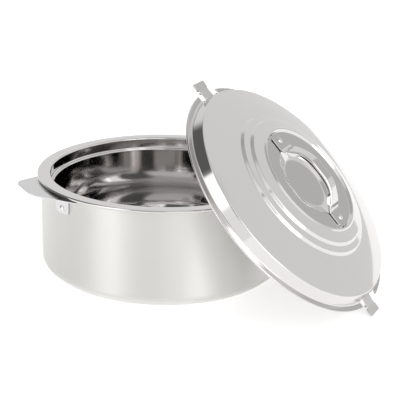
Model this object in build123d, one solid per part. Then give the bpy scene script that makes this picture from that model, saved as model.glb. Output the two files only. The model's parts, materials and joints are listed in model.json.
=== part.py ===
from build123d import *
import math
import os

# An insulated serving casserole: a double-walled steel pot with two side handles, and a
# double-walled lid with a strap handle and two clips, leaning on the pot's rim.
# Origin at the centre of the pot's foot, +Z up, the side handles along X. Millimetres, degrees.

# Fits between pieces
press_gap = 0.2          # between pieces that are pressed or riveted together
foam_gap = 0.3           # between the foam and what encloses it
hole_clearance = 0.1     # on the radius, round a rivet's shank
pin_clearance = 0.05     # on the radius, between a clip's pin and its knuckle

# Pot
pot_height = 117.5
rim_radius = 150.0
rim_edge_round = 1.6
rim_hem_width = 3.5      # of the rim that is folded back under the shell's flange
rim_fold_gap = 0.5
rim_width = 15.5         # from the rim's edge in to the mouth
mouth_round = 2.5
ledge_depth = 13.0
ledge_width = 4.0
ledge_fall = 0.8
bowl_taper = 6.5         # of the wall, from the ledge in to the floor
bowl_floor_height = 14.0
bowl_corner_round = 24.0
pot_sheet = 0.8
bend_round = 1.5         # of a plain bend in the pot's sheet
rim_overhang = 4.5       # of the rim past the shell
seam_height = 15.7

# Base pan
base_overlap = 6.3       # of the pan inside the shell, above the seam
base_corner_height = 10.5
base_corner_round = 9.0
base_corner_width = 13.5  # from the shell in to the foot
bead_radius = 91.0
bead_width = 8.0
bead_rise = 1.2
bead_slope = 2.0
bead_round = 1.5

# Foam plug in the base
plug_place = -62.0       # along Y
dimple_radius = 12.5
dimple_depth = 2.4
dimple_slope = 2.0
dimple_round = 1.2
filler_hole_radius = 5.0
plug_head_radius = 8.5
plug_head_thickness = 1.8
plug_head_round = 0.6
plug_shank_length = 6.0
plug_tip_radius = 4.2
plug_tip_round = 1.0

# Side handles
handle_sheet = 1.5
handle_rim_gap = 0.5
handle_slope = 9.0
handle_reach = 31.3      # from the shell to the handle's outer edge
handle_nose_half = 17.2
handle_nose_round = 8.0
handle_shoulder_reach = 25.8
handle_shoulder_half = 29.3
handle_shoulder_round = 10.0
handle_root_half = 55.2
handle_root_round = 2.5
tab_spacing = 65.0
tab_width = 24.0
tab_drop = 19.0          # from the handle's top, at the shell, to the tab's end
tab_round = 4.5
rivet_above_tab_end = 5.0

# Rivets and washers of the side handles
rivet_head_radius = 4.8
rivet_head_height = 2.2
rivet_shank_radius = 2.4
rivet_tail_radius = 3.8
rivet_tail_height = 1.5
washer_radius = 6.5
washer_thickness = 1.0

# Lid cover
lid_setback = 2.0        # of the lid's edge from the rim's
lid_sheet = 0.6
lid_fold_gap = 0.3
lid_hem_width = 3.5
lid_edge_round = 1.1
brim_width = 7.2
brim_root_round = 1.5
wall_rise = 12.1
wall_lean = 4.1
dome_edge_round = 1.5
dome_rise = 11.0
dome_bulge = 1.0         # of the corner that the dome's long curve is rounded from
step_run = 2.4
step_rise = 2.9
step_round = 1.1
outer_ring_width = 7.0
outer_ring_rise = 2.1
inner_ring_width = 12.0
inner_ring_rise = 3.4
crest_run = 2.7
crest_rise = 1.7
crest_round = 1.6
crest_fall_run = 2.9
crest_fall = 3.1
seat_width = 19.0
finger_bowl_floor = 30.5
finger_bowl_lip_round = 2.0
finger_bowl_run = 13.5
finger_bowl_depth = 7.1
finger_bowl_round = 6.0

# Lid liner, with the plug that drops into the pot's mouth
plug_clearance = 2.0
plug_depth = 11.2
plug_draft = 0.8
plug_top_round = 1.5
plug_floor_round = 3.0
groove_inset = 24.5      # from the plug's wall to the groove's middle
groove_width = 8.0
groove_rise = 1.2
groove_slope = 2.0

# Lid handle
strap_sheet = 1.3
strap_end_gap = 2.8      # to the crest round its seat
strap_pad_half = 13.0
strap_pad_round = 2.5
strap_pad_length = 18.5
strap_middle_half = 8.5
strap_height = 19.2      # from its seat to the top of the arch
strap_leg_run = 14.5     # from a foot in to the arch's shoulder, before that is rounded
strap_foot_round = 5.0
strap_lip_depth = 5.5
strap_waist_round = 20.0
strap_rivet_inset = 7.0  # from the strap's end
strap_rivet_head_radius = 3.6
strap_rivet_head_height = 1.8
strap_rivet_shank_radius = 1.9
strap_rivet_tail_radius = 3.0
strap_rivet_tail_height = 1.2
strap_washer_radius = 5.5

# Clips on the lid, with their pins and brackets
clip_sheet = 0.9
clip_half = 10.0
clip_pad_half = 12.0
clip_pad_round = 2.0
clip_pad_length = 9.5
clip_pad_rise = 1.2
clip_overreach = 11.4    # past the pot's rim, with the lid seated
clip_bend_round = 1.2
clip_fold_height = 2.2   # of the pad, which is folded double
clip_fold_round = 1.0
catch_clearance = 0.4    # between the clip's catch and the pot's rim, with the lid seated
catch_hold = 1.4         # how far the catch reaches under the rim
catch_half = 4.0
pin_inset = 3.3          # from the bracket's back
pin_height = 2.6
pin_radius = 1.0
pin_head_radius = 1.7
pin_head_thickness = 0.6
ear_gap = 0.3
ear_sheet = 0.8
ear_length = 2.7         # past the pin
ear_rise = 3.4           # above the pin
bracket_sheet = 0.6
bracket_depth = 3.4
bracket_half = 21.7
bracket_height = 11.0
notch_clearance = 0.3

# How the lid leans
lean_tilt = 45.88
lean_azimuth = -52.99    # the direction of its low side
lean_shift = -26.46      # of its middle, sideways along its own level line
lean_gap = 0.4           # between its plug and the pot's rim
table_gap = 0.3          # under its low clip
low_clip_droop = 9.0     # below level with the brim
high_clip_droop = 2.0

# How far a long curve fills the corner that it rounds
curve_fill = 0.84

# Places that follow from the sizes above
mouth_radius = rim_radius - rim_width
bowl_floor_radius = mouth_radius - ledge_width - bowl_taper
shell_radius = rim_radius - rim_overhang
foot_radius = shell_radius - base_corner_width
lid_radius = rim_radius - lid_setback
rim_lip = 3 * pot_sheet + 2 * rim_fold_gap
shell_top = pot_height - pot_sheet - rim_fold_gap
pan_radius = shell_radius - pot_sheet - press_gap
pan_top = seam_height + base_overlap
handle_inside = shell_radius + press_gap
handle_fall = math.tan(math.radians(handle_slope))
handle_top = pot_height - rim_lip - handle_rim_gap - handle_fall * (rim_radius - shell_radius)
tab_end = handle_top - tab_drop
tab_angle = math.degrees(math.asin(tab_spacing / 2 / shell_radius))
rivet_place = (handle_inside + handle_sheet, tab_end + rivet_above_tab_end)
brim_thickness = 3 * lid_sheet + 2 * lid_fold_gap
flange_height = lid_sheet + lid_fold_gap
plug_radius = mouth_radius - plug_clearance
groove_radius = plug_radius - groove_inset
seat_radius = finger_bowl_floor + finger_bowl_run + seat_width
step_radius = seat_radius + crest_fall_run + crest_run + inner_ring_width + outer_ring_width
outer_step_radius = step_radius + 2 * step_run
strap_half_length = seat_radius - strap_end_gap
strap_foot = strap_half_length - strap_pad_length
strap_shoulder = strap_foot - strap_leg_run
strap_rivet_place = strap_half_length - strap_rivet_inset
bracket_back = plug_radius + plug_top_round + press_gap
bracket_mouth = bracket_back + bracket_depth
pin_place = bracket_back + pin_inset
clip_reach = rim_radius + clip_overreach
ear_inside = clip_half + ear_gap
knuckle_hole = pin_radius + pin_clearance
knuckle_radius = knuckle_hole + clip_sheet
catch_outside = rim_radius + catch_clearance + clip_sheet
catch_bottom = -rim_lip - catch_clearance - clip_sheet
clip_top = pin_height - knuckle_hole
clip_pad_bottom = clip_top + clip_pad_rise - clip_fold_height


# ---- Profiles: lists of corners (radius, height, rounding), from rim to middle ----

bowl_profile = [
    (rim_radius - rim_hem_width, pot_height - rim_lip, 0),
    (rim_radius, pot_height - rim_lip, rim_edge_round),
    (rim_radius, pot_height, rim_edge_round),
    (mouth_radius, pot_height, mouth_round),
    (mouth_radius, pot_height - ledge_depth, bend_round),
    (mouth_radius - ledge_width, pot_height - ledge_depth - ledge_fall, bend_round),
    (bowl_floor_radius, bowl_floor_height, bowl_corner_round),
    (0, bowl_floor_height, 0),
]

shell_profile = [
    (rim_radius - pot_sheet - rim_fold_gap, shell_top - pot_sheet, 0),
    (shell_radius, shell_top - pot_sheet, bend_round),
    (shell_radius, seam_height, 0),
]

base_profile = [
    (pan_radius, pan_top, 0),
    (pan_radius, base_corner_height, base_corner_round),
    (foot_radius, 0, base_corner_round),
    (bead_radius + bead_width / 2 + bead_slope, 0, bead_round),
    (bead_radius + bead_width / 2, bead_rise, bead_round),
    (bead_radius - bead_width / 2, bead_rise, bead_round),
    (bead_radius - bead_width / 2 - bead_slope, 0, bead_round),
    (0, 0, 0),
]


def long_round(before, after):
    """The radius that rounds a corner as far as its two straight runs (run, rise) allow."""
    turn = abs(math.atan2(before[1], before[0]) - math.atan2(after[1], after[0]))
    return curve_fill * min(math.hypot(*before), math.hypot(*after)) / math.tan(turn / 2)


def lid_cover_profile():
    """The lid's outer surface, walked inwards from its hem by runs and rises."""
    corners = [
        (lid_radius - lid_hem_width, 0, 0),
        (lid_radius, 0, lid_edge_round),
        (lid_radius, brim_thickness, lid_edge_round),
    ]
    wall_root = lid_radius - brim_width
    half_dome = (wall_root - wall_lean - outer_step_radius) / 2
    lower_dome = (half_dome, dome_rise / 2 + dome_bulge)
    upper_dome = (half_dome, dome_rise / 2 - dome_bulge)
    steps = [
        (brim_width, 0, brim_root_round),
        (wall_lean, wall_rise, dome_edge_round),
        (*lower_dome, long_round(lower_dome, upper_dome)),
        (*upper_dome, step_round),
        (step_run, step_rise, step_round),
        (outer_ring_width, outer_ring_rise, step_round),
        (step_run, step_rise, step_round),
        (inner_ring_width, inner_ring_rise, crest_round),
        (crest_run, crest_rise, crest_round),
        (crest_fall_run, -crest_fall, step_round),
        (seat_width, 0, finger_bowl_lip_round),
        (finger_bowl_run, -finger_bowl_depth, finger_bowl_round),
    ]
    for run, rise, rounding in steps:
        radius, height, _ = corners[-1]
        corners.append((radius - run, height + rise, rounding))
    corners.append((0, corners[-1][1], 0))
    return corners


cover_profile = lid_cover_profile()
strap_seat = cover_profile[-3][1]

liner_profile = [
    (lid_radius - lid_sheet - lid_fold_gap, flange_height, 0),
    (plug_radius, flange_height, plug_top_round),
    (plug_radius - plug_draft, -plug_depth, plug_floor_round),
    (groove_radius + groove_width / 2 + groove_slope, -plug_depth, bead_round),
    (groove_radius + groove_width / 2, groove_rise - plug_depth, bead_round),
    (groove_radius - groove_width / 2, groove_rise - plug_depth, bead_round),
    (groove_radius - groove_width / 2 - groove_slope, -plug_depth, bead_round),
    (0, -plug_depth, 0),
]


# ---- Ways of making a shape ----

def shifted(corners, distance):
    """The same profile, moved to the left of its own direction by distance."""
    moved = []
    for i, (x, y, rounding) in enumerate(corners):
        before = corners[max(i - 1, 0):i + 1]
        after = corners[i:i + 2]
        sides = []
        for pair in (before, after):
            if len(pair) == 2:
                run = pair[1][0] - pair[0][0]
                rise = pair[1][1] - pair[0][1]
                length = math.hypot(run, rise)
                sides.append((-rise / length, run / length))
        first, last = sides[0], sides[-1]
        spread = 1 + first[0] * last[0] + first[1] * last[1]
        step_x = distance * (first[0] + last[0]) / spread
        step_y = distance * (first[1] + last[1]) / spread
        turn = first[0] * last[1] - first[1] * last[0]
        if rounding and turn:
            rounding = max(rounding - distance * math.copysign(1, turn), 0)
        moved.append((x + step_x, y + step_y, rounding))
    return moved


def rounded_line(corners):
    """A line through the corners, each rounded by its own radius."""
    points = [(x, y) for x, y, _ in corners]
    if len(points) == 2:
        return Line(*points)
    return FilletPolyline(*points, radius=[rounding for _, _, rounding in corners[1:-1]])


def rounded_face(corners):
    """A closed face with rounded corners; the first and last corners stay sharp."""
    first, last = corners[0], corners[-1]
    return make_face([rounded_line(corners), Line(last[:2], first[:2])])


def turned_sheet(corners, thickness):
    """Sheet metal spun to a profile, with its thickness to the left of the profile."""
    inside = shifted(corners, thickness)
    ends = [Line(corners[end][:2], inside[end][:2]) for end in (0, -1)]
    section = make_face([rounded_line(corners), rounded_line(inside)] + ends)
    return revolve(Plane.XZ * section, Axis.Z)


def turned_solid(corners):
    """A solid of revolution; the first and last corners lie on the axis."""
    return revolve(Plane.XZ * rounded_face(corners), Axis.Z)


def block(low, high):
    """A box between two corners."""
    size = [b - a for a, b in zip(low, high)]
    return Pos(*low) * Box(*size, align=(Align.MIN, Align.MIN, Align.MIN))


def disc(radius, low, high):
    """A cylinder on the Z axis between two heights."""
    return Pos(0, 0, low) * Cylinder(radius, high - low, align=(Align.CENTER, Align.CENTER, Align.MIN))


def rivet(head_radius, head_height, shank_radius, grip, tail_radius, tail_height):
    """A dome-headed rivet along Z: head above 0, its tail formed below the grip."""
    crown = (head_radius ** 2 + head_height ** 2) / (2 * head_height)
    outline = [
        Polyline(
            (0, head_height), (0, -grip - tail_height), (tail_radius, -grip - tail_height),
            (tail_radius, -grip), (shank_radius, -grip), (shank_radius, 0), (head_radius, 0),
        ),
        RadiusArc((head_radius, 0), (0, head_height), -crown),
    ]
    return revolve(Plane.XZ * make_face(outline), Axis.Z)


def washer(radius, hole, low, high):
    return disc(radius, low, high) - disc(hole, low, high)


def turned_half_round(piece):
    """The same piece on the other side of the Z axis."""
    return Rot(0, 0, 180) * piece


# ---- Pot ----

def handle_rivet_places():
    """Where the rivets of the right handle sit, each with Z along the rivet, outwards."""
    outside, height = rivet_place
    for side in (-1, 1):
        yield Rot(0, 0, side * tab_angle) * Pos(outside, 0, height) * Rot(0, 90, 0)


washer_seat = 2 * press_gap + washer_radius ** 2 / (2 * (shell_radius - pot_sheet))
washer_face = handle_sheet + press_gap + pot_sheet + washer_seat
rivet_grip = washer_face + washer_thickness


def both_sides(make):
    """What make gives at each rivet of both side handles."""
    right = [place * make() for place in handle_rivet_places()]
    return right + [turned_half_round(piece) for piece in right]


def rivet_hole():
    """Through the handle's tab and the shell."""
    return disc(rivet_shank_radius + hole_clearance, -rivet_grip, press_gap)


def rivet_room():
    """Room in the foam for a rivet's tail and its washer."""
    depth = rivet_grip + rivet_tail_height + foam_gap
    return disc(washer_radius + foam_gap, -depth, 0)


def make_inner_bowl():
    return turned_sheet(bowl_profile, pot_sheet)


def make_outer_shell():
    shell = turned_sheet(shell_profile, -pot_sheet)
    return shell - both_sides(rivet_hole)


def make_base_plate():
    """A pan with a ring bead, and a dimple round the hole that the foam is poured through."""
    dimple_profile = [
        (dimple_radius + dimple_slope, 0, 0),
        (dimple_radius, 0, dimple_round),
        (dimple_radius - dimple_slope, dimple_depth, dimple_round),
        (filler_hole_radius, dimple_depth, 0),
    ]
    pan = turned_sheet(base_profile, -pot_sheet)
    place = Pos(0, plug_place, 0)
    opening = disc(dimple_radius + dimple_slope, -pot_sheet, 2 * pot_sheet)
    return pan - place * opening + place * turned_sheet(dimple_profile, -pot_sheet)


def make_foam_plug():
    """A flat-headed plug, its shank tapering into the foam."""
    head_top = dimple_depth - press_gap
    shank_top = dimple_depth + pot_sheet + plug_shank_length
    shank_radius = filler_hole_radius - hole_clearance
    corners = [
        (0, head_top - plug_head_thickness, 0),
        (plug_head_radius, head_top - plug_head_thickness, plug_head_round),
        (plug_head_radius, head_top, 0),
        (shank_radius, head_top, 0),
        (shank_radius, dimple_depth + pot_sheet, 0),
        (plug_tip_radius, shank_top, plug_tip_round),
        (0, shank_top, 0),
    ]
    return Pos(0, plug_place, 0) * turned_solid(corners)


def make_pot_foam():
    """Fills the space between the bowl, the shell and the base pan."""
    lining = pot_sheet + foam_gap
    inside = shell_radius - lining
    shell_fill = disc(inside, pan_top + foam_gap, pot_height - lining)
    pan_line = shifted(base_profile, -lining)
    pan_inside = pan_line[0][0]
    pan_fill = turned_solid(
        [(0, pan_top + foam_gap, 0), (pan_inside, pan_top + foam_gap, 0)] + pan_line[1:]
    )
    above = pot_height + rim_lip
    bowl = turned_solid(
        [(0, above, 0), (rim_radius, above, 0)] + shifted(bowl_profile[2:], lining)
    )
    plug_room = Pos(0, plug_place, 0) * disc(
        dimple_radius + dimple_slope, 0, dimple_depth + lining
    )
    plug_room += Pos(0, plug_place, 0) * disc(
        filler_hole_radius + foam_gap, 0, dimple_depth + lining + plug_shank_length
    )
    return shell_fill + pan_fill - bowl - plug_room - both_sides(rivet_room)


def make_right_side_handle():
    """A flat plate sloping up and out, with two tabs bent down along the shell."""
    nose = shell_radius + handle_reach
    shoulder = shell_radius + handle_shoulder_reach
    root = math.sqrt(handle_inside ** 2 - handle_root_half ** 2)
    half = [
        (root, handle_root_half, handle_root_round),
        (shoulder, handle_shoulder_half, handle_shoulder_round),
        (nose, handle_nose_half, handle_nose_round),
    ]
    other_half = [(x, -y, rounding) for x, y, rounding in reversed(half)]
    corners = [(0, handle_root_half, 0)] + half + other_half + [(0, -handle_root_half, 0)]
    plan = extrude(rounded_face(corners), pot_height)
    span = 2 * nose  # past the plate's sides
    tilted = Pos(shell_radius, 0, handle_top) * Rot(0, -handle_slope, 0)
    plate = tilted * block((-nose, -span, -handle_sheet), (nose, span, 0))
    below_top = tilted * block((-nose, -span, -nose), (nose, span, 0))
    around = disc(handle_inside, 0, 2 * pot_height)
    handle = plan & plate
    handle = handle - around
    tab_ring = disc(handle_inside + handle_sheet, 0, pot_height) - around
    tab_face = Plane.YZ * Pos(0, tab_end + pot_height / 2) * RectangleRounded(
        tab_width, pot_height, tab_round
    )
    tab = tab_ring & extrude(tab_face, nose)
    for side in (-1, 1):
        handle = handle + (Rot(0, 0, side * tab_angle) * tab & below_top)
    for place in handle_rivet_places():
        handle = handle - place * rivet_hole()
    return handle


def make_right_handle_rivets():
    one = rivet(
        rivet_head_radius, rivet_head_height, rivet_shank_radius,
        rivet_grip, rivet_tail_radius, rivet_tail_height,
    )
    return Compound([place * one for place in handle_rivet_places()])


def make_right_handle_washers():
    one = washer(washer_radius, rivet_shank_radius + hole_clearance, -rivet_grip, -washer_face)
    return Compound([place * one for place in handle_rivet_places()])


# ---- Lid, modelled level with its origin at the middle of the brim's underside ----

def lid_notch(side):
    """The cut in the brim and wall that a clip works through."""
    width = bracket_half + notch_clearance
    top = flange_height + bracket_height + notch_clearance
    cut = block((bracket_back - press_gap, -width, -pot_sheet), (clip_reach, width, top))
    return Rot(0, 0, 90 - 90 * side) * cut


def strap_rivet_places():
    for side in (-1, 1):
        yield Pos(side * strap_rivet_place, 0, strap_seat + press_gap + strap_sheet)


strap_washer_face = strap_sheet + press_gap + lid_sheet + press_gap
strap_rivet_grip = strap_washer_face + washer_thickness


def strap_rivet_hole():
    return disc(strap_rivet_shank_radius + hole_clearance, -strap_rivet_grip, press_gap)


def make_lid_cover():
    cover = turned_sheet(cover_profile, lid_sheet)
    for side in (-1, 1):
        cover = cover - lid_notch(side)
    for place in strap_rivet_places():
        cover = cover - place * strap_rivet_hole()
    return cover


def make_lid_liner():
    """The flange lies in the cover's hem; the plug hangs below it."""
    liner = turned_sheet(liner_profile, -lid_sheet)
    for side in (-1, 1):
        liner = liner - lid_notch(side)
    return liner


def make_lid_foam():
    """Fills the space between the cover and the liner, round the brackets and rivet tails."""
    lining = lid_sheet + foam_gap
    dome = shifted(cover_profile[3:], lining)
    wall_radius, wall_height, _ = dome[0]
    dome_fill = turned_solid([(0, wall_height, 0)] + dome)
    plug = shifted(liner_profile, -lining)
    plug_fill = turned_solid(
        [(0, wall_height, 0), (wall_radius, wall_height, 0), (wall_radius, plug[0][1], 0)] + plug[1:]
    )
    foam = dome_fill + plug_fill
    for side in (-1, 1):
        room = block(
            (bracket_back - foam_gap, -bracket_half - 2 * foam_gap, -plug_depth / 2),
            (lid_radius, bracket_half + 2 * foam_gap, flange_height + bracket_height + 2 * foam_gap),
        )
        foam = foam - Rot(0, 0, 90 - 90 * side) * room
    depth = strap_rivet_grip + strap_rivet_tail_height + foam_gap
    for place in strap_rivet_places():
        foam = foam - place * disc(strap_washer_radius + foam_gap, -depth, 0)
    return foam


def strap_line(foot_drop, arch_drop):
    """The strap from the side: two flat ends and an arch, each below the strap's top by a drop."""
    foot_height = strap_seat + press_gap + strap_sheet - foot_drop
    arch_height = strap_seat + press_gap + strap_sheet + strap_height - arch_drop
    shoulder_round = long_round(
        (strap_leg_run, arch_height - foot_height), (strap_shoulder, 0)
    )
    half = [
        (-strap_half_length, foot_height, 0),
        (-strap_foot, foot_height, strap_foot_round),
        (-strap_shoulder, arch_height, shoulder_round),
    ]
    return half + [(-x, z, rounding) for x, z, rounding in reversed(half)]


def across_strap(upper, lower):
    """A block across the strap, between two side lines."""
    ends = [Line(upper[end][:2], lower[end][:2]) for end in (0, -1)]
    face = Plane.XZ * make_face([rounded_line(upper), rounded_line(lower)] + ends)
    return extrude(face, strap_half_length, both=True)


def strap_plan(inset):
    """The strap seen from above, as a tall block, waisted at its middle."""
    quarter = [
        (strap_half_length - inset, 0, 0),
        (strap_half_length - inset, strap_pad_half - inset, strap_pad_round),
        (strap_foot, strap_pad_half - inset, strap_waist_round / 2),
        (strap_shoulder, strap_middle_half - inset, strap_waist_round),
    ]
    other_quarter = [(-x, y, rounding) for x, y, rounding in reversed(quarter)]
    face = rounded_face(quarter + other_quarter)
    return extrude(face + mirror(face, Plane.XZ), strap_seat + 2 * strap_height)


def make_lid_handle():
    """A strap bent up over the finger bowl, its edges turned down into lips along the arch."""
    top = strap_line(0, 0)
    lips = strap_line(strap_sheet, strap_lip_depth)
    underside = shifted(top, -strap_sheet)
    floor = [(underside[end][0], strap_seat / 2, 0) for end in (0, -1)]
    room = strap_plan(strap_sheet) & across_strap(underside, floor)
    strap = (strap_plan(0) & across_strap(top, lips)) - room
    for place in strap_rivet_places():
        strap -= place * strap_rivet_hole()
    return strap


def make_lid_handle_rivets():
    one = rivet(
        strap_rivet_head_radius, strap_rivet_head_height, strap_rivet_shank_radius,
        strap_rivet_grip, strap_rivet_tail_radius, strap_rivet_tail_height,
    )
    return Compound([place * one for place in strap_rivet_places()])


def make_lid_handle_washers():
    hole = strap_rivet_shank_radius + hole_clearance
    one = washer(strap_washer_radius, hole, -strap_rivet_grip, -strap_washer_face)
    return Compound([place * one for place in strap_rivet_places()])


# ---- Clips, made for the side of the lid at +X ----

pin_middle = Pos(pin_place, 0, pin_height)


def along_pin(radius, half):
    """A cylinder on the pin's axis."""
    return pin_middle * Rot(90, 0, 0) * disc(radius, -half, half)


def make_clip():
    """A strip from the pin's knuckle to the finger pad, folded back there and down into a catch."""
    corners = [
        (pin_place, clip_top, 0),
        (catch_outside, clip_top, clip_bend_round),
        (clip_reach, clip_top + clip_pad_rise, clip_fold_round),
        (clip_reach, clip_pad_bottom, clip_fold_round),
        (catch_outside, clip_top - clip_fold_height, clip_bend_round),
        (catch_outside, catch_bottom, clip_bend_round),
        (rim_radius - catch_hold, catch_bottom, 0),
    ]
    inside = shifted(corners, -clip_sheet)
    ends = [Line(corners[end][:2], inside[end][:2]) for end in (0, -1)]
    side = Plane.XZ * make_face([rounded_line(corners), rounded_line(inside)] + ends)
    strip = extrude(side, clip_pad_half, both=True)
    pad_start = clip_reach - clip_pad_length
    neck = block(
        (pin_place - knuckle_radius, -clip_half, clip_top - clip_fold_height / 2),
        (pad_start + clip_pad_round, clip_half, pin_height),
    )
    catch = block(
        (rim_radius - catch_hold, -catch_half, catch_bottom),
        (pad_start + clip_pad_round, catch_half, clip_top),
    )
    pad = Pos((pad_start + clip_reach) / 2, 0, 0) * RectangleRounded(
        clip_pad_length, 2 * clip_pad_half, clip_pad_round
    )
    pad_block = Pos(0, 0, -pot_height) * extrude(pad, 2 * pot_height)
    clip = strip & (neck + catch + pad_block)
    clip = clip + along_pin(knuckle_radius, clip_half)
    return clip - along_pin(knuckle_hole, clip_pad_half)


def drooping(clip, droop):
    """The clip, swung down round its pin."""
    return pin_middle * Rot(0, droop, 0) * pin_middle.inverse() * clip


def make_clip_pin():
    """A plain pin, its ends peened over outside the ears."""
    outside = ear_inside + ear_sheet + press_gap
    pin = along_pin(pin_radius, outside + pin_head_thickness)
    heads = along_pin(pin_head_radius, outside + pin_head_thickness) - along_pin(
        pin_head_radius, outside
    )
    return pin + heads


def make_clip_bracket():
    """A pocket that closes the foam off behind the clip, with two ears for the pin."""
    low, high = flange_height - lid_sheet, flange_height + bracket_height
    pocket = block((bracket_back, -bracket_half, low), (bracket_mouth, bracket_half, high))
    hollow = block(
        (bracket_back + bracket_sheet, bracket_sheet - bracket_half, low),
        (bracket_mouth, bracket_half - bracket_sheet, high - bracket_sheet),
    )
    bracket = pocket - hollow
    for side in (-1, 1):
        middle = side * (ear_inside + ear_sheet / 2)
        bracket += block(
            (bracket_back, middle - ear_sheet / 2, low),
            (pin_place + ear_length, middle + ear_sheet / 2, pin_height + ear_rise),
        )
    return bracket - along_pin(knuckle_hole, bracket_half)


# ---- Where the lid stands ----

def leaning_place():
    """The lid's place, from what it touches: the pot's rim, and the table under its low clip."""
    tilt = math.radians(lean_tilt)
    turn = math.radians(lean_azimuth)
    rim_reach = (rim_radius - rim_edge_round) * math.sin(tilt) + rim_edge_round
    rim_reach += (pot_height - rim_edge_round) * math.cos(tilt)
    rise = rim_reach + lean_gap + plug_depth
    droop = math.radians(low_clip_droop)
    run = clip_reach - clip_fold_round - pin_place
    drop = pin_height - clip_pad_bottom - clip_fold_round
    tip_radius = pin_place + run * math.cos(droop) - drop * math.sin(droop)
    tip_height = pin_height - run * math.sin(droop) - drop * math.cos(droop)
    middle_height = table_gap + clip_fold_round
    middle_height += tip_radius * math.sin(tilt) - tip_height * math.cos(tilt)
    slide = (middle_height - rise * math.cos(tilt)) / math.sin(tilt)
    outwards = rise * math.sin(tilt) - slide * math.cos(tilt)
    x = outwards * math.cos(turn) - lean_shift * math.sin(turn)
    y = outwards * math.sin(turn) + lean_shift * math.cos(turn)
    return Pos(x, y, middle_height) * Rot(0, 0, lean_azimuth) * Rot(0, lean_tilt, 0)


def make_all():
    """Every node by name."""
    right_handle = {
        "side_handle": make_right_side_handle(),
        "handle_rivets": make_right_handle_rivets(),
        "handle_washers": make_right_handle_washers(),
    }
    clip = make_clip()
    clip_pieces = {
        "clip_pin": make_clip_pin(),
        "clip_bracket": make_clip_bracket(),
    }
    nodes = {
        "outer_shell": make_outer_shell(),
        "inner_bowl": make_inner_bowl(),
        "base_plate": make_base_plate(),
        "pot_foam": make_pot_foam(),
        "foam_plug": make_foam_plug(),
    }
    for name, piece in right_handle.items():
        nodes["right_" + name] = piece
        nodes["left_" + name] = turned_half_round(piece)
    lid_nodes = {
        "lid_cover": make_lid_cover(),
        "lid_liner": make_lid_liner(),
        "lid_foam": make_lid_foam(),
        "lid_handle": make_lid_handle(),
        "lid_handle_rivets": make_lid_handle_rivets(),
        "lid_handle_washers": make_lid_handle_washers(),
        "right_clip": drooping(clip, low_clip_droop),
        "left_clip": turned_half_round(drooping(clip, high_clip_droop)),
    }
    for name, piece in clip_pieces.items():
        lid_nodes["right_" + name] = piece
        lid_nodes["left_" + name] = turned_half_round(piece)
    lean = leaning_place()
    for name, piece in lid_nodes.items():
        nodes[name] = lean * piece
    return nodes


if __name__ == "__main__":
    os.makedirs("parts", exist_ok=True)
    for node_name, node_shape in make_all().items():
        export_step(node_shape, "parts/" + node_name + ".step")
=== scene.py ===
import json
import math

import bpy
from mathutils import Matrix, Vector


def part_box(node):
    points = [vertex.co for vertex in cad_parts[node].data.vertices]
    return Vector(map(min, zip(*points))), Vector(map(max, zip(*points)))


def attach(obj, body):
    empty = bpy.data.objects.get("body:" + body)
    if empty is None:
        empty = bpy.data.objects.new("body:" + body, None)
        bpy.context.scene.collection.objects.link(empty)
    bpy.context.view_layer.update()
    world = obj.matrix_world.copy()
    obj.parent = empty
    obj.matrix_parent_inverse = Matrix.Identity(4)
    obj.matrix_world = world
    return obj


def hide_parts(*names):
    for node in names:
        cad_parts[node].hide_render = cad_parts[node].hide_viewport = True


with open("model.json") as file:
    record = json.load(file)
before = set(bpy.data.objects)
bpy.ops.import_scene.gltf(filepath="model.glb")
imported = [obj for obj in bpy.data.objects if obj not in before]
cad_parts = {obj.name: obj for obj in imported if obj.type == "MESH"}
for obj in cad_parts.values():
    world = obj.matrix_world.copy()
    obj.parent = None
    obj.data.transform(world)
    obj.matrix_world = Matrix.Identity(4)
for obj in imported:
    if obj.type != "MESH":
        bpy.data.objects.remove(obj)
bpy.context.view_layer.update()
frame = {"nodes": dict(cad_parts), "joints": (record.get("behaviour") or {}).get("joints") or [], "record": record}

# %% [markdown]
# # An insulated steel casserole, with its lid leaning on the pot
#
# The engineering model is already here: `frame` holds every solid piece at its true size and
# place, each on the body that it moves with. This lesson gives those pieces their finishes, makes
# the polished sheets again as even meshes, and sets up a small product studio round them.
#
# Lengths in Blender are metres, and sizes below are in millimetres. The pot stands at the origin
# with its side handles along X.

MM = 0.001
nodes = frame["nodes"]
print("pieces in the frame:", len(nodes))

# %% [markdown]
# ## Where the lid is
#
# The lid leans, so its pieces are easiest to draw in a frame of its own: origin at the middle of
# the brim's underside, Z up through the dome, X through the two clips. The clips' hinges say where
# that frame is: the line from one pin to the other is X, and the pins' own direction is Y.

# %% The lid's own frame, from the clips' hinges
PIN_HEIGHT = 2.6
joints = {joint["name"]: joint for joint in frame["joints"]}
left_pin = Vector(joints["left_clip_swing"]["pos_m"])
right_pin = Vector(joints["right_clip_swing"]["pos_m"])
lid_x = (right_pin - left_pin).normalized()
lid_y = Vector(joints["left_clip_swing"]["axis"]).normalized()
lid_z = lid_x.cross(lid_y)
lid_frame = Matrix((lid_x, lid_y, lid_z)).transposed().to_4x4()
lid_frame.translation = (left_pin + right_pin) / 2 - lid_z * PIN_HEIGHT * MM
print("the lid leans by", round(math.degrees(lid_z.angle(Vector((0, 0, 1)))), 1), "degrees")

# %% [markdown]
# ## The camera
#
# A long lens some 1.5 m away keeps the pot's ellipses calm, as in catalogue pictures. The heading
# turns the view so that the left handle points at the picture's left edge, and the camera looks
# down by 19 degrees, enough to see into the pot.

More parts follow.
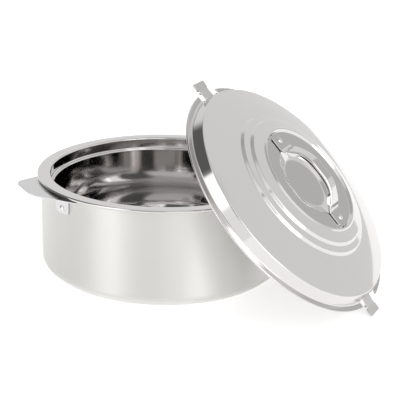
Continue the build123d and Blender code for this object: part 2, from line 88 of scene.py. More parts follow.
# %% Camera
CAMERA_PLACE = Vector((-604.8, -1245.5, 554.3)) * MM
CAMERA_HEADING = math.radians(-27.6)
CAMERA_LOOKS_DOWN = math.radians(18.84)
CAMERA_ROLL = math.radians(1.05)
camera_data = bpy.data.cameras.new("camera")
camera_data.lens = 110.46
camera_data.sensor_width = 36.0
camera_data.shift_x = 0.00179
camera_data.shift_y = -0.00506
camera = bpy.data.objects.new("camera", camera_data)
bpy.context.scene.collection.objects.link(camera)
camera.matrix_world = (
    Matrix.Translation(CAMERA_PLACE)
    @ Matrix.Rotation(CAMERA_HEADING, 4, "Z")
    @ Matrix.Rotation(math.pi / 2 - CAMERA_LOOKS_DOWN, 4, "X")
    @ Matrix.Rotation(CAMERA_ROLL, 4, "Z")
)
bpy.context.scene.camera = camera
print("the camera stands", round(CAMERA_PLACE.length, 2), "m from the middle of the pot's foot")

# %% [markdown]
# ## Spun sheet metal
#
# The bowl, the shell and both sheets of the lid are discs of steel that were spun or pressed to a
# profile. The engineering model has them already, but its triangles are uneven, and a mirror
# polish shows every one. So each is made again here as a grid: the samples of its profile one
# way, the steps round its axis the other way. A Screw modifier could turn the profile as well. A
# grid made by hand gives each corner its exact normal, which the modifier can't, and a reflection
# then runs as smoothly over the mesh as over the real sheet.
#
# A profile is a list of corners (radius, height, rounding) in millimetres, walked from the piece's
# edge to its middle. First it is turned into samples. Each sample is a place, and the direction to
# the left of the walk, which is square to the sheet.

# %% Sampling a rounded profile
FINE_STEP = math.radians(11)
LONG_STEP = math.radians(1.5)
LONG_ROUND = 30.0


def left_of(way):
    return Vector((-way.y, way.x))


def rounded_samples(corners):
    """Samples along a profile, close together where it bends."""
    places = [Vector(corner[:2]) for corner in corners]
    ways = [(after - before).normalized() for before, after in zip(places, places[1:])]
    samples = [(places[0], left_of(ways[0]))]
    for corner, way_in, way_out in zip(corners[1:], ways, ways[1:]):
        rounding = corner[2]
        turn = math.atan2(way_in.cross(way_out), way_in.dot(way_out))
        bend_start = Vector(corner[:2]) - way_in * rounding * math.tan(abs(turn) / 2)
        to_centre = math.copysign(rounding, turn)
        centre = bend_start + left_of(way_in) * to_centre
        steps = max(2, math.ceil(abs(turn) / (LONG_STEP if rounding > LONG_ROUND else FINE_STEP)))
        for step in range(steps + 1):
            left = left_of(way_in)
            left.rotate(Matrix.Rotation(turn * step / steps, 2))
            samples.append((centre - left * to_centre, left))
    samples.append((places[-1], left_of(ways[-1])))
    return samples


def with_sample_at(samples, axis, value):
    """The samples with one more, where the walk first passes a radius (axis 0) or a height
    (axis 1), and the number of that sample."""
    for number, (before, after) in enumerate(zip(samples, samples[1:])):
        if min(before[0][axis], after[0][axis]) < value < max(before[0][axis], after[0][axis]):
            share = (value - before[0][axis]) / (after[0][axis] - before[0][axis])
            place = before[0].lerp(after[0], share)
            return samples[:number + 1] + [(place, before[1])] + samples[number + 1:], number + 1
    raise ValueError("the profile doesn't pass there")


print("a tight quarter turn has", math.ceil(math.pi / 2 / FINE_STEP) + 1, "samples")

# %% [markdown]
# The samples are turned round the axis in even steps, once for each face of the sheet. The two
# faces lie a sheet's thickness apart, measured square to the sheet, so it is as thick on its
# slopes and in its bends as on its flats.

# %% Turning the samples round the axis
COLUMNS = 240


def even_angles(radius):
    """The columns' angles, the same at every radius."""
    return [math.tau * number / COLUMNS for number in range(COLUMNS)]


def skin(samples, depth, angles_at):
    """The grid's points at a depth to the samples' left, as rows of (point, left in space)."""
    rows = []
    up = Vector((0, 0, 1))
    for place, left in samples:
        spot = place + left * depth
        rounds = [Vector((math.cos(angle), math.sin(angle), 0)) for angle in angles_at(place.x)]
        rows.append([(out * spot.x + up * spot.y, out * left.x + up * left.y) for out in rounds])
    return rows


print("columns round a plain sheet:", COLUMNS)

# %% [markdown]
# Every face carries the normals of its own corners. Where the sheet is cut, its edge is sharp on the
# real piece too, and marking it so keeps the normals of the two sides apart.

# %% Collecting faces
SHARP_ANGLE = math.radians(60)
SAME_POINT_DIGITS = 4       # digits of a millimetre in which two points agree, to be one


class Faces:
    """Faces with a normal at each corner. Their points are in millimetres."""

    def __init__(self):
        self.points, self.numbers = [], {}
        self.faces, self.normals = [], []

    def add(self, corners, corner_normals):
        """Add a face, its corners in order round it; corners that meet on the axis become one."""
        face, face_normals = [], []
        for corner, normal in zip(corners, corner_normals):
            key = tuple(round(value, SAME_POINT_DIGITS) for value in corner)
            if self.numbers.setdefault(key, len(self.points)) == len(self.points):
                self.points.append(corner)
            if self.numbers[key] not in face:
                face.append(self.numbers[key])
                face_normals.append(normal)
        if len(face) > 2:
            self.faces.append(face)
            self.normals.append(face_normals)

    def add_flat(self, corners):
        """Add a flat face, which has one normal."""
        normal = (corners[1] - corners[0]).cross(corners[2] - corners[0]).normalized()
        self.add(corners, [normal] * len(corners))

    def as_piece(self, name, stands):
        """An object of these faces, moved to where the piece stands."""
        mesh = bpy.data.meshes.new(name)
        mesh.from_pydata([stands @ (point * MM) for point in self.points], [], self.faces)
        mesh.shade_smooth()
        mesh.set_sharp_from_angle(angle=SHARP_ANGLE)
        turned = stands.to_3x3()
        mesh.normals_split_custom_set([turned @ normal for face in self.normals for normal in face])
        piece = bpy.data.objects.new(name, mesh)
        bpy.context.scene.collection.objects.link(piece)
        print(name, "has", len(self.faces), "faces")
        return piece


print("edges of more than", round(math.degrees(SHARP_ANGLE)), "degrees are sharp")

# %% [markdown]
# The grid has two skins, one on each face of the sheet, and a strip that closes each open edge.
# Some sheets have a notch, where a range of columns is left out as far as a certain row, and its
# edges get strips as well.

# %% Spinning a sheet
def spun_sheet(name, samples, thickness, stands=Matrix.Identity(4), angles_at=even_angles,
               notch_columns=(), notch_rows=0):
    """A sheet spun to the samples. Its thickness goes to their left, or right where negative."""
    front, back = (skin(samples, depth, angles_at) for depth in (0.0, thickness))
    facing = -math.copysign(1, thickness)
    last_row, columns = len(samples) - 1, len(front[0])
    sheet = Faces()

    def add_cell(grid, cell, side):
        """Add one face of a skin, on the side that it shows."""
        around = cell[::-1] if side > 0 else cell
        sheet.add([grid[r][c][0] for r, c in around], [grid[r][c][1] * side for r, c in around])

    def add_strip(row_a, column_a, row_b, column_b):
        """Close the sheet's edge between two neighbouring grid points."""
        corners = [front[row_a][column_a][0], front[row_b][column_b][0],
                   back[row_b][column_b][0], back[row_a][column_a][0]]
        sheet.add_flat(corners[::-1] if facing > 0 else corners)

    def is_open(row, column):
        """Whether the sheet has nothing there: past its edges, or in a notch."""
        return row < 0 or row == last_row or (column % columns in notch_columns and row < notch_rows)

    for row in range(last_row):
        for column in range(columns):
            if is_open(row, column):
                continue
            beside = (column + 1) % columns
            cell = [(row, column), (row, beside), (row + 1, beside), (row + 1, column)]
            add_cell(front, cell, facing)
            add_cell(back, cell, -facing)
            if is_open(row - 1, column):
                add_strip(row, beside, row, column)
            if is_open(row + 1, column) and samples[row + 1][0].x > 0:
                add_strip(row + 1, column, row + 1, beside)
            if is_open(row, column - 1):
                add_strip(row, column, row + 1, column)
            if is_open(row, beside):
                add_strip(row + 1, beside, row, beside)
    return sheet.as_piece(name, stands)


print("a plain sheet has two skins and a strip round each open edge")

# %% [markdown]
# ## The bowl
#
# One sheet makes the flat rim and the bowl: its edge is folded back under the rim, the top runs
# in to the mouth, a small ledge below the mouth carries the lid's plug, and the wall tapers down
# to a flat floor with a wide corner. On the real pot it is pressed, then polished to a mirror.

# %% The bowl
POT_SHEET = 0.8
RIM_RADIUS, POT_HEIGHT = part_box("inner_bowl")[1].x / MM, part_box("inner_bowl")[1].z / MM
RIM_EDGE_ROUND = 1.6
RIM_HEM_WIDTH, RIM_HEM_DROP = 3.5, 3.4
MOUTH_RADIUS, MOUTH_ROUND = 134.5, 2.5
LEDGE_DEPTH, LEDGE_WIDTH, LEDGE_FALL = 13.0, 4.0, 0.8
BEND_ROUND = 1.5
FLOOR_RADIUS, FLOOR_HEIGHT, FLOOR_CORNER_ROUND = 124.0, 14.0, 24.0

bowl_samples = rounded_samples([
    (RIM_RADIUS - RIM_HEM_WIDTH, POT_HEIGHT - RIM_HEM_DROP, 0),
    (RIM_RADIUS, POT_HEIGHT - RIM_HEM_DROP, RIM_EDGE_ROUND),
    (RIM_RADIUS, POT_HEIGHT, RIM_EDGE_ROUND),
    (MOUTH_RADIUS, POT_HEIGHT, MOUTH_ROUND),
    (MOUTH_RADIUS, POT_HEIGHT - LEDGE_DEPTH, BEND_ROUND),
    (MOUTH_RADIUS - LEDGE_WIDTH, POT_HEIGHT - LEDGE_DEPTH - LEDGE_FALL, BEND_ROUND),
    (FLOOR_RADIUS, FLOOR_HEIGHT, FLOOR_CORNER_ROUND),
    (0, FLOOR_HEIGHT, 0),
])
bowl = spun_sheet("polished_bowl", bowl_samples, POT_SHEET)
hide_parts("inner_bowl")
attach(bowl, "pot")

# %% [markdown]
# ## The body wall
#
# A plain drum of satin steel. Its top is bent out under the rim, and its foot ends at the seam
# where the base pan goes up inside it.

# %% The body wall
SHELL_RADIUS, SEAM_HEIGHT = 145.5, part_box("outer_shell")[0].z / MM
SHELL_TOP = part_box("outer_shell")[1].z / MM
FLANGE_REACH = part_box("outer_shell")[1].x / MM

shell_samples = rounded_samples([
    (FLANGE_REACH, SHELL_TOP - POT_SHEET, 0),
    (SHELL_RADIUS, SHELL_TOP - POT_SHEET, BEND_ROUND),
    (SHELL_RADIUS, SEAM_HEIGHT, 0),
])
shell = spun_sheet("satin_body_wall", shell_samples, -POT_SHEET)
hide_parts("outer_shell")
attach(shell, "pot")

# %% [markdown]
# ## The lid's two sheets
#
# The cover is one pressed sheet. From its edge inwards it has a folded hem, a flat brim, a short
# upright wall, a low dome, two raised rings, a crest, a flat seat for the strap, and the bowl that
# leaves room for fingers. Each step is written as a run inwards and a rise, which is how a tool
# maker would read it off a drawing. Both ends of the lid have a notch for a clip: columns of the
# grid are placed on the notch's two edges at every radius, so that the edges come out straight.

# %% The lid's cover
LID_SHEET, LID_FOLD_GAP = 0.6, 0.3
LID_RADIUS = 148.0
LID_HEM_WIDTH, BRIM_THICKNESS, LID_EDGE_ROUND = 3.5, 2.4, 1.1
NOTCH_HALF, NOTCH_BACK, NOTCH_TOP = 22.0, 134.0, 12.2
NOTCH_COLUMNS, COLUMNS_BETWEEN = 14, 106
DOME_ROUND = 446.4


def notched_angles(radius):
    """The columns' angles, with the edges of both notches between two columns."""
    half = math.asin(NOTCH_HALF / max(radius, NOTCH_BACK))
    across = [half * (2 * number / NOTCH_COLUMNS - 1) for number in range(NOTCH_COLUMNS)]
    rest = [half + (math.pi - 2 * half) * number / COLUMNS_BETWEEN for number in range(COLUMNS_BETWEEN)]
    return across + rest + [angle + math.pi for angle in across + rest]


half_turn = NOTCH_COLUMNS + COLUMNS_BETWEEN
notch_columns = {*range(NOTCH_COLUMNS), *range(half_turn, half_turn + NOTCH_COLUMNS)}
COVER_STEPS = [
    ("brim", 7.2, 0, 1.5),
    ("wall", 4.1, 12.1, 1.5),
    ("lower half of the dome", 22.15, 6.5, DOME_ROUND),
    ("upper half of the dome", 22.15, 4.5, 1.1),
    ("step up", 2.4, 2.9, 1.1),
    ("outer ring", 7.0, 2.1, 1.1),
    ("step up", 2.4, 2.9, 1.1),
    ("inner ring", 12.0, 3.4, 1.6),
    ("crest", 2.7, 1.7, 1.6),
    ("fall to the seat", 2.9, -3.1, 1.1),
    ("seat of the strap", 19.0, 0, 2.0),
    ("side of the finger bowl", 13.5, -7.1, 6.0),
]
cover_corners = [
    (LID_RADIUS - LID_HEM_WIDTH, 0, 0),
    (LID_RADIUS, 0, LID_EDGE_ROUND),
    (LID_RADIUS, BRIM_THICKNESS, LID_EDGE_ROUND),
]
for step_name, run, rise, rounding in COVER_STEPS:
    radius, height, _ = cover_corners[-1]
    cover_corners.append((radius - run, height + rise, rounding))
cover_corners.append((0, cover_corners[-1][1], 0))
SEAT_HEIGHT = cover_corners[-3][1]
print("the strap's seat is", round(SEAT_HEIGHT, 1), "mm above the brim's underside")

cover_samples, first_row_left = with_sample_at(rounded_samples(cover_corners), 1, NOTCH_TOP)
cover = spun_sheet("polished_lid_cover", cover_samples, LID_SHEET, lid_frame, notched_angles,
                   notch_columns, first_row_left)
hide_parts("lid_cover")
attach(cover, "lid")

# %% [markdown]
# The liner closes the lid from below. Its flange lies in the cover's hem, and its plug, with a ring
# bead pressed into the flat, drops into the pot's mouth.

# %% The lid's liner
PLUG_RADIUS, PLUG_DEPTH, PLUG_DRAFT = 132.5, 11.2, 0.8
PLUG_TOP_ROUND, PLUG_FLOOR_ROUND = 1.5, 3.0
BEAD_RADIUS, BEAD_HALF, BEAD_SLOPE, BEAD_RISE, BEAD_ROUND = 108.0, 4.0, 2.0, 1.2, 1.5
FLANGE_HEIGHT = LID_SHEET + LID_FOLD_GAP
LINER_NOTCH_BACK = NOTCH_BACK + 0.5     # just outside the plug's bend

liner_corners = [
    (LID_RADIUS - FLANGE_HEIGHT, FLANGE_HEIGHT, 0),
    (PLUG_RADIUS, FLANGE_HEIGHT, PLUG_TOP_ROUND),
    (PLUG_RADIUS - PLUG_DRAFT, -PLUG_DEPTH, PLUG_FLOOR_ROUND),
    (BEAD_RADIUS + BEAD_HALF + BEAD_SLOPE, -PLUG_DEPTH, BEAD_ROUND),
    (BEAD_RADIUS + BEAD_HALF, BEAD_RISE - PLUG_DEPTH, BEAD_ROUND),
    (BEAD_RADIUS - BEAD_HALF, BEAD_RISE - PLUG_DEPTH, BEAD_ROUND),
    (BEAD_RADIUS - BEAD_HALF - BEAD_SLOPE, -PLUG_DEPTH, BEAD_ROUND),
    (0, -PLUG_DEPTH, 0),
]
liner_samples, flange_rows = with_sample_at(rounded_samples(liner_corners), 0, LINER_NOTCH_BACK)
liner = spun_sheet("polished_lid_liner", liner_samples, -LID_SHEET, lid_frame, notched_angles,
                   notch_columns, flange_rows)
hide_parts("lid_liner")
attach(liner, "lid")

# %% [markdown]
# ## The strap on the lid
#
# The handle is a strip of sheet, bent up over the finger bowl, with its long edges turned down
# into lips that stiffen it. It is made as a row of cross-sections along the strip's side line.
# Each is a flat top, two rounded edges and two lips, with the same again one sheet's thickness
# inside. A flat end is the same cross-section with lips no deeper than the sheet.

# %% The strap's side line and widths
STRAP_SHEET, PRESS_GAP = 1.3, 0.2
STRAP_HALF_LENGTH, STRAP_FOOT, STRAP_SHOULDER = 60.2, 41.7, 27.2
STRAP_HEIGHT, STRAP_FOOT_ROUND, STRAP_SHOULDER_ROUND = 19.2, 5.0, 40.6
STRAP_PAD_HALF, STRAP_PAD_ROUND, STRAP_MIDDLE_HALF = 13.0, 2.5, 8.5
STRAP_LIP_DEPTH, STRAP_EDGE_ROUND, STRAP_FOOT_EDGE_ROUND = 5.5, 2.2, 0.4
foot_top = SEAT_HEIGHT + PRESS_GAP + STRAP_SHEET
arch_top = foot_top + STRAP_HEIGHT

strap_corners = [
    (-STRAP_HALF_LENGTH, foot_top, 0),
    (-STRAP_FOOT, foot_top, STRAP_FOOT_ROUND),
    (-STRAP_SHOULDER, arch_top, STRAP_SHOULDER_ROUND),
    (STRAP_SHOULDER, arch_top, STRAP_SHOULDER_ROUND),
    (STRAP_FOOT, foot_top, STRAP_FOOT_ROUND),
    (STRAP_HALF_LENGTH, foot_top, 0),
]


def smooth_step(value, low, high):
    """0 below low, 1 above high, and a smooth S between them."""
    share = min(max((value - low) / (high - low), 0), 1)
    return share * share * (3 - 2 * share)


def strap_half_width(x):
    """Wide at the ends, with rounded corners, and slimmer along the arch."""
    waist = 1 - smooth_step(abs(x), STRAP_SHOULDER, STRAP_FOOT)
    half = STRAP_PAD_HALF + (STRAP_MIDDLE_HALF - STRAP_PAD_HALF) * waist
    into_corner = min(max(abs(x) - STRAP_HALF_LENGTH + STRAP_PAD_ROUND, 0), STRAP_PAD_ROUND)
    return half - STRAP_PAD_ROUND + math.sqrt(STRAP_PAD_ROUND ** 2 - into_corner ** 2)


print("the strap is", round(2 * strap_half_width(0)), "mm wide at its middle and",
      round(2 * strap_half_width(STRAP_FOOT)), "mm at its feet")

# %% [markdown]
# The strap is slim where a finger hooks under it and wide where it is riveted. Its lips fade out
# as it comes down to the seat, because a turned-down edge can't lie flat.

# %% The strap's cross-sections
EDGE_STEPS = 6


def quarter_round(across, up, radius):
    """A quarter circle from the side to the top, as (across, up) points."""
    angles = [math.pi / 2 * step / EDGE_STEPS for step in range(EDGE_STEPS + 1)]
    return [(across + radius * math.cos(angle), up + radius * math.sin(angle)) for angle in angles]


def strap_section(half, height):
    """The closed cross-section, as (across, up) points from the right lip over the top and back."""
    grown = smooth_step(height, foot_top, foot_top + STRAP_HEIGHT / 2)
    lip = STRAP_SHEET + (STRAP_LIP_DEPTH - STRAP_SHEET) * grown
    outer = STRAP_FOOT_EDGE_ROUND + (STRAP_EDGE_ROUND - STRAP_FOOT_EDGE_ROUND) * grown
    inner = min(max(outer - STRAP_SHEET, 0), lip - STRAP_SHEET)
    outside = [(half, -lip)] + quarter_round(half - outer, -outer, outer)
    inside = [(half - STRAP_SHEET, -lip)] + quarter_round(
        half - STRAP_SHEET - inner, -STRAP_SHEET - inner, inner)
    return (outside + [(-across, up) for across, up in reversed(outside)]
            + [(-across, up) for across, up in inside] + inside[::-1])


print("a cross-section has", len(strap_section(STRAP_MIDDLE_HALF, arch_top)), "points")

# %% [markdown]
# The cross-sections are joined to a closed skin. Where a lip has no depth, points fall together,
# so they are merged. The long flat faces then set the direction of the normals beside them.

# %% The strap
import bmesh

SECTION_SPACING = 0.5
SAME_PLACE, NO_LENGTH = 0.01 * MM, 0.005 * MM
STRAP_SHARP_ANGLE = math.radians(40)


def evenly_along(samples, spacing):
    """The samples with more between them wherever they are further apart than the spacing."""
    closer = samples[:1]
    for before, after in zip(samples, samples[1:]):
        pieces = math.ceil((after[0] - before[0]).length / spacing)
        closer += [
            (before[0].lerp(after[0], piece / pieces), before[1].lerp(after[1], piece / pieces))
            for piece in range(1, pieces + 1)
        ]
    return closer


strap_mesh = bpy.data.meshes.new("polished_lid_strap")
strap_bmesh = bmesh.new()
rings = []
for place, up_way in evenly_along(rounded_samples(strap_corners), SECTION_SPACING):
    section = strap_section(strap_half_width(place.x), place.y)
    rings.append([
        strap_bmesh.verts.new(lid_frame @ (
            Vector((place.x + up_way.x * up, across, place.y + up_way.y * up)) * MM))
        for across, up in section
    ])
for ring, next_ring in zip(rings, rings[1:]):
    for number in range(len(ring)):
        beside = (number + 1) % len(ring)
        strap_bmesh.faces.new([ring[number], ring[beside], next_ring[beside], next_ring[number]])
strap_bmesh.faces.new(rings[0][::-1])
strap_bmesh.faces.new(rings[-1])
bmesh.ops.remove_doubles(strap_bmesh, verts=strap_bmesh.verts[:], dist=SAME_PLACE)
bmesh.ops.dissolve_degenerate(strap_bmesh, edges=strap_bmesh.edges[:], dist=NO_LENGTH)
bmesh.ops.recalc_face_normals(strap_bmesh, faces=strap_bmesh.faces[:])
strap_bmesh.to_mesh(strap_mesh)
strap_bmesh.free()
strap_mesh.shade_smooth()
strap_mesh.set_sharp_from_angle(angle=STRAP_SHARP_ANGLE)
strap = bpy.data.objects.new("polished_lid_strap", strap_mesh)
bpy.context.scene.collection.objects.link(strap)
weighted = strap.modifiers.new("flat_faces_stay_flat", "WEIGHTED_NORMAL")
weighted.keep_sharp = True
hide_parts("lid_handle")
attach(strap, "lid")
print("the strap has", len(strap_mesh.polygons), "faces")

# %% [markdown]
# ## Colours and nodes
#
# Colours are written as the hex values that a picture editor shows. Blender's shaders work in
# linear light, so one function turns them over. A second small function adds a node to a material,
# with its settings and its links, and is all that the materials below need.

# %% Helpers for materials
def linear(hex_colour):
    """A hex colour such as "c8c8c6" as linear red, green, blue and alpha."""
    channels = [int(hex_colour[i:i + 2], 16) / 255 for i in (0, 2, 4)]
    straight = [c / 12.92 if c <= 0.04045 else ((c + 0.055) / 1.055) ** 2.4 for c in channels]
    return (*straight, 1.0)


def add_node(owner, kind, settings=(), **inputs):
    """Add a node. An input is a number, a colour, or another node's output to link."""
    node = owner.node_tree.nodes.new(kind)
    for name, value in dict(settings).items():
        setattr(node, name, value)
    for name, value in inputs.items():
        socket = node.inputs[int(name[1:])] if name[0] == "_" else node.inputs[name.replace("_", " ")]
        if isinstance(value, bpy.types.NodeSocket):
            owner.node_tree.links.new(value, socket)
        else:
            socket.default_value = value
    return node


def new_material(name):
    """An empty material, ready for nodes."""
    material = bpy.data.materials.new(name)
    material.use_nodes = True
    material.node_tree.nodes.clear()
    return material


def finish_material(material, shader):
    """Link the shader to the material's output."""
    add_node(material, "ShaderNodeOutputMaterial", Surface=shader.outputs[0])
    return material


finishes = {}
print("a mid grey of c8c8c6 is", round(linear("c8c8c6")[0], 2), "of white in linear light")

# %% [markdown]
# ## Satin steel
#
# The body wall is brushed with a fine belt while the drum turns, so its scratches run round it. A
# scratched surface blurs a reflection across its scratches and hardly along them. Here that draws
# every light of the studio out into a soft upright band, the look that gives such pots away.
#
# The Anisotropic value does the blurring. It draws a highlight out along the tangent, which runs
# round the pot's axis as the scratches do, so a quarter turn sets the highlight upright.

# %% Satin steel
SCRATCHES_PER_MM = 2.2      # a fine belt; a real one leaves up to ten, which no picture would show
CHANGES_ALONG_PER_MM = 0.012    # a scratch is many times longer than it is wide
SCRATCH_DEPTH = 0.1
QUARTER_TURN = 0.25


def satin_steel():
    """Stainless steel, brushed round the pot."""
    material = new_material("stainless_steel_satin_brushed")
    place = add_node(material, "ShaderNodeTexCoord")
    grain = add_node(
        material, "ShaderNodeMapping", Vector=place.outputs["Object"],
        Scale=(CHANGES_ALONG_PER_MM / MM, CHANGES_ALONG_PER_MM / MM, SCRATCHES_PER_MM / MM),
    )
    scratches = add_node(material, "ShaderNodeTexNoise", Vector=grain.outputs[0], Scale=1.0, Detail=3.0)
    rough = add_node(
        material, "ShaderNodeMapRange", Value=scratches.outputs[0], To_Min=0.36, To_Max=0.42
    )
    bump = add_node(
        material, "ShaderNodeBump", Height=scratches.outputs[0], Strength=0.05,
        Distance=SCRATCH_DEPTH * MM,
    )
    round_the_pot = add_node(
        material, "ShaderNodeTangent", {"direction_type": "RADIAL", "axis": "Z"}
    )
    shader = add_node(
        material, "ShaderNodeBsdfPrincipled", Base_Color=linear("dcdbd8"), Metallic=1.0,
        Roughness=rough.outputs[0], Anisotropic=0.9, Anisotropic_Rotation=QUARTER_TURN,
        Normal=bump.outputs[0], Tangent=round_the_pot.outputs[0],
    )
    return finish_material(material, shader)


finishes["satin_steel"] = satin_steel()
print("made", finishes["satin_steel"].name)

# %% [markdown]
# ## Mirror-polished steel
#
# The bowl, the lid and the strap are polished to a mirror. Even a good polish keeps a faint haze, so
# the roughness isn't zero and wanders a little.

# %% Mirror-polished steel
HAZE_PATCHES_PER_MM = 0.03


def mirror_steel():
    """Stainless steel, mirror polished."""
    material = new_material("stainless_steel_mirror_polished")
    place = add_node(material, "ShaderNodeTexCoord")
    haze = add_node(
        material, "ShaderNodeTexNoise", Vector=place.outputs["Object"],
        Scale=HAZE_PATCHES_PER_MM / MM, Detail=4.0,
    )
    rough = add_node(material, "ShaderNodeMapRange", Value=haze.outputs[0], To_Min=0.04, To_Max=0.08)
    shader = add_node(
        material, "ShaderNodeBsdfPrincipled", Base_Color=linear("d8d6d5"), Metallic=1.0,
        Roughness=rough.outputs[0],
    )
    return finish_material(material, shader)


finishes["mirror_steel"] = mirror_steel()
print("made", finishes["mirror_steel"].name)

# %% [markdown]
# ## Soft polished and plain steel
#
# The side handles get a quicker polish than the bowl. The clips, pins, brackets and washers are left
# as the sheet comes from the mill: dull, with a fine even grain. One function makes both.

# %% Soft polished and plain steel
GRAINS_PER_MM = 0.6


def grained_steel(name, colour, low, high):
    """Stainless steel with an even grain and a roughness between two values."""
    material = new_material(name)
    place = add_node(material, "ShaderNodeTexCoord")
    grain = add_node(
        material, "ShaderNodeTexNoise", Vector=place.outputs["Object"],
        Scale=GRAINS_PER_MM / MM, Detail=3.0,
    )
    rough = add_node(material, "ShaderNodeMapRange", Value=grain.outputs[0], To_Min=low, To_Max=high)
    shader = add_node(
        material, "ShaderNodeBsdfPrincipled", Base_Color=linear(colour), Metallic=1.0,
        Roughness=rough.outputs[0],
    )
    return finish_material(material, shader)


finishes["rim_steel"] = grained_steel("stainless_steel_soft_polished", "d4d3d3", 0.16, 0.22)
finishes["matte_steel"] = grained_steel("stainless_steel_mill_finish", "cdccca", 0.28, 0.40)
print("made", finishes["rim_steel"].name, "and", finishes["matte_steel"].name)

# %% [markdown]
# ## Foam and plastic
#
# The foam is poured in and sets: a pale yellow mass of tiny cells. The plug that closes its hole is
# moulded black plastic with a fine texture from the tool. Both are only seen from below, or never.

# %% Foam and plastic
FOAM_CELL, FOAM_PORE_DEPTH = 1.1, 0.5
PLUG_GRAINS_PER_MM, PLUG_GRAIN_DEPTH = 1.5, 0.1


def foam():
    """Rigid polyurethane foam, cut across its cells."""
    material = new_material("polyurethane_foam_rigid")
    place = add_node(material, "ShaderNodeTexCoord")
    cells = add_node(
        material, "ShaderNodeTexVoronoi", Vector=place.outputs["Object"], Scale=1 / (FOAM_CELL * MM)
    )
    bump = add_node(
        material, "ShaderNodeBump", Height=cells.outputs[0], Strength=0.4,
        Distance=FOAM_PORE_DEPTH * MM,
    )
    shader = add_node(
        material, "ShaderNodeBsdfPrincipled", Base_Color=linear("e3d6a8"), Roughness=0.9,
        Normal=bump.outputs[0],
    )
    return finish_material(material, shader)


def plug_plastic():
    """Black polypropylene with the grain of its mould."""
    material = new_material("polypropylene_moulded_black")
    place = add_node(material, "ShaderNodeTexCoord")
    grain = add_node(
        material, "ShaderNodeTexNoise", Vector=place.outputs["Object"], Scale=PLUG_GRAINS_PER_MM / MM
    )
    bump = add_node(
        material, "ShaderNodeBump", Height=grain.outputs[0], Strength=0.2,
        Distance=PLUG_GRAIN_DEPTH * MM,
    )
    shader = add_node(
        material, "ShaderNodeBsdfPrincipled", Base_Color=linear("232323"), Roughness=0.5,
        Normal=bump.outputs[0],
    )
    return finish_material(material, shader)


finishes["foam"] = foam()
finishes["plug_plastic"] = plug_plastic()
print("made", finishes["foam"].name, "and", finishes["plug_plastic"].name)

# %% [markdown]
# ## Every piece gets its finish
#
# The record names a finish for each node, so the engineering model is dressed in one short loop.
# The body wall made here is satin, and the other sheets made here are mirrors.

# %% Giving out the materials
for part in frame["record"]["subparts"]:
    node = nodes[part["node"]]
    node.data.materials.clear()
    node.data.materials.append(finishes[part["material_slot"]])
shell.data.materials.append(finishes["satin_steel"])
for piece in (bowl, cover, liner, strap):
    piece.data.materials.append(finishes["mirror_steel"])
print("finishes given out:", len(finishes))

# %% [markdown]
# ## The studio
#
# Steel has next to no colour of its own: it shows the room. So the room is drawn as a tent of
# white cloth round the table. The photographer stands in its opening, which is dark, and panels
# lighten or darken other parts of it. The world shader draws all this by direction, in the
# studio's own frame: X to the camera's right, Y away from the camera, Z up.
#
# A panel is a rectangle seen from the table. Its middle is a direction, and its sides are angles. For
# each direction the shader works out how far it lies from the panel's middle, across and upwards.

# %% Drawing by direction
world = bpy.data.worlds.new("studio_tent")
bpy.context.scene.world = world
world.use_nodes = True
world.node_tree.nodes.clear()
direction = add_node(world, "ShaderNodeTexCoord")
in_studio = add_node(
    world, "ShaderNodeMapping", Vector=direction.outputs["Generated"],
    Rotation=(0, 0, -CAMERA_HEADING),
)


def math_node(operation, first, second=0.0):
    return add_node(world, "ShaderNodeMath", {"operation": operation}, _0=first, _1=second).outputs[0]


def along(way):
    """How far the direction points along a way."""
    return add_node(
        world, "ShaderNodeVectorMath", {"operation": "DOT_PRODUCT"},
        _0=in_studio.outputs[0], _1=tuple(way),
    ).outputs["Value"]


def soft_edge(value, edge, softness):
    """1 inside the edge, 0 outside, with a soft border."""
    return add_node(
        world, "ShaderNodeMapRange", {"interpolation_type": "SMOOTHSTEP"},
        Value=value, From_Min=edge - softness, From_Max=edge + softness, To_Min=1.0, To_Max=0.0,
    ).outputs[0]


JUST_AHEAD = 0.001


def panel(light, name, azimuth, elevation, width, height, brightness, softness):
    """Paint a panel over the light so far. Angles in degrees; azimuth 0 is right, 90 is away."""
    turn, rise = math.radians(azimuth), math.radians(elevation)
    centre = Vector((math.cos(rise) * math.cos(turn), math.cos(rise) * math.sin(turn), math.sin(rise)))
    side = Vector((-math.sin(turn), math.cos(turn), 0))
    up = centre.cross(side)
    ahead = along(centre)
    distance = math_node("MAXIMUM", ahead, JUST_AHEAD)
    across = math_node("ABSOLUTE", math_node("DIVIDE", along(side), distance))
    upwards = math_node("ABSOLUTE", math_node("DIVIDE", along(up), distance))
    inside = math_node(
        "MULTIPLY",
        soft_edge(across, math.tan(math.radians(width / 2)), softness),
        soft_edge(upwards, math.tan(math.radians(height / 2)), softness),
    )
    in_front = math_node("GREATER_THAN", ahead, 0.0)
    share = math_node("MULTIPLY", inside, in_front)
    print("panel:", name)
    return add_node(
        world, "ShaderNodeMix", {"data_type": "FLOAT"}, Factor=share, _2=light, _3=brightness
    ).outputs[0]


print("the studio is turned by", round(math.degrees(CAMERA_HEADING), 1), "degrees, as the camera is")

# %% [markdown]
# Large soft lights stand in front and at the right. The narrow strips draw bright upright bands on
# the satin wall, the dark wall gives the polished edges their contrast, and the grey card is where
# the strap's seat and the floor of the finger bowl look, so that they stand out from the dome.
# The camera itself sees plain white, so that every view has a clean ground.

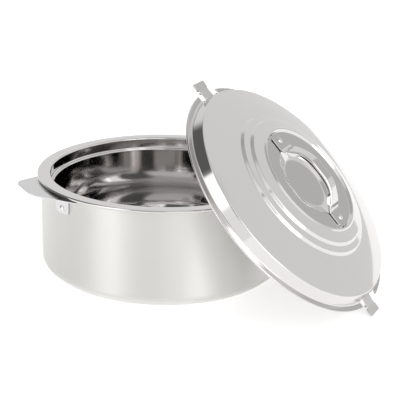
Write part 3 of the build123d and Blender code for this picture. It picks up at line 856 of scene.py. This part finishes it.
# %% The tent and its panels
TENT = 0.86
PANELS = [      # name, azimuth, elevation, width and height in degrees, brightness, softness
    ("soft light at the front", -95, 10, 120, 100, 1.05, 0.4),
    ("soft light at the right", -42, 22, 56, 80, 1.16, 0.3),
    ("strip light at the right", -54, 14, 22, 64, 3.0, 0.08),
    ("strip light at the front left", -140, 14, 20, 64, 2.4, 0.08),
    ("grey cloth overhead", 60, 78, 64, 44, 0.55, 0.1),
    ("dark wall at the left", 165, 38, 56, 62, 0.13, 0.16),
    ("strip light at the left", -148, 38, 18, 60, 1.5, 0.03),
    ("the tent's dark opening", -104, 32, 28, 34, 0.12, 0.05),
    ("grey card that the lid's flats show", 45, 19, 14, 14, 0.6, 0.02),
]
light = TENT
for name, azimuth, elevation, width, height, brightness, softness in PANELS:
    light = panel(light, name, azimuth, elevation, width, height, brightness, softness)
cloth = add_node(world, "ShaderNodeBackground", Color=linear("ffffff"), Strength=light)
clean_ground = add_node(world, "ShaderNodeBackground", Color=linear("ffffff"), Strength=1.0)
ray = add_node(world, "ShaderNodeLightPath")
either = add_node(
    world, "ShaderNodeMixShader", Fac=ray.outputs["Is Camera Ray"],
    _1=cloth.outputs[0], _2=clean_ground.outputs[0],
)
add_node(world, "ShaderNodeOutputWorld", Surface=either.outputs[0])
bpy.context.scene.view_settings.view_transform = "Standard"

# %% [markdown]
# ## The table
#
# A sheet of white paper, far wider than the view. It glows a little, like a table that is lit from
# below for catalogue pictures, and that keeps the shadow under the lid thin.

# %% The table
TABLE_REACH = 6.0           # metres each way from the pot
TABLE_GLOW = 0.45
FIBRES_PER_MM = 0.3
CORNER_WAYS = ((-1, -1), (1, -1), (1, 1), (-1, 1))
floor_mesh = bpy.data.meshes.new("paper_table")
floor_mesh.from_pydata([(x * TABLE_REACH, y * TABLE_REACH, 0) for x, y in CORNER_WAYS], [], [(0, 1, 2, 3)])
floor = bpy.data.objects.new("paper_table", floor_mesh)
bpy.context.scene.collection.objects.link(floor)
paper = new_material("paper_sweep_white")
fibres = add_node(paper, "ShaderNodeTexNoise", Scale=FIBRES_PER_MM / MM)
paper_bump = add_node(paper, "ShaderNodeBump", Height=fibres.outputs[0], Strength=0.02)
finish_material(paper, add_node(
    paper, "ShaderNodeBsdfPrincipled", Base_Color=linear("fafafa"), Roughness=0.9,
    Normal=paper_bump.outputs[0], Emission_Color=linear("ffffff"), Emission_Strength=TABLE_GLOW,
))
floor_mesh.materials.append(paper)
print("the table reaches", TABLE_REACH, "m each way")
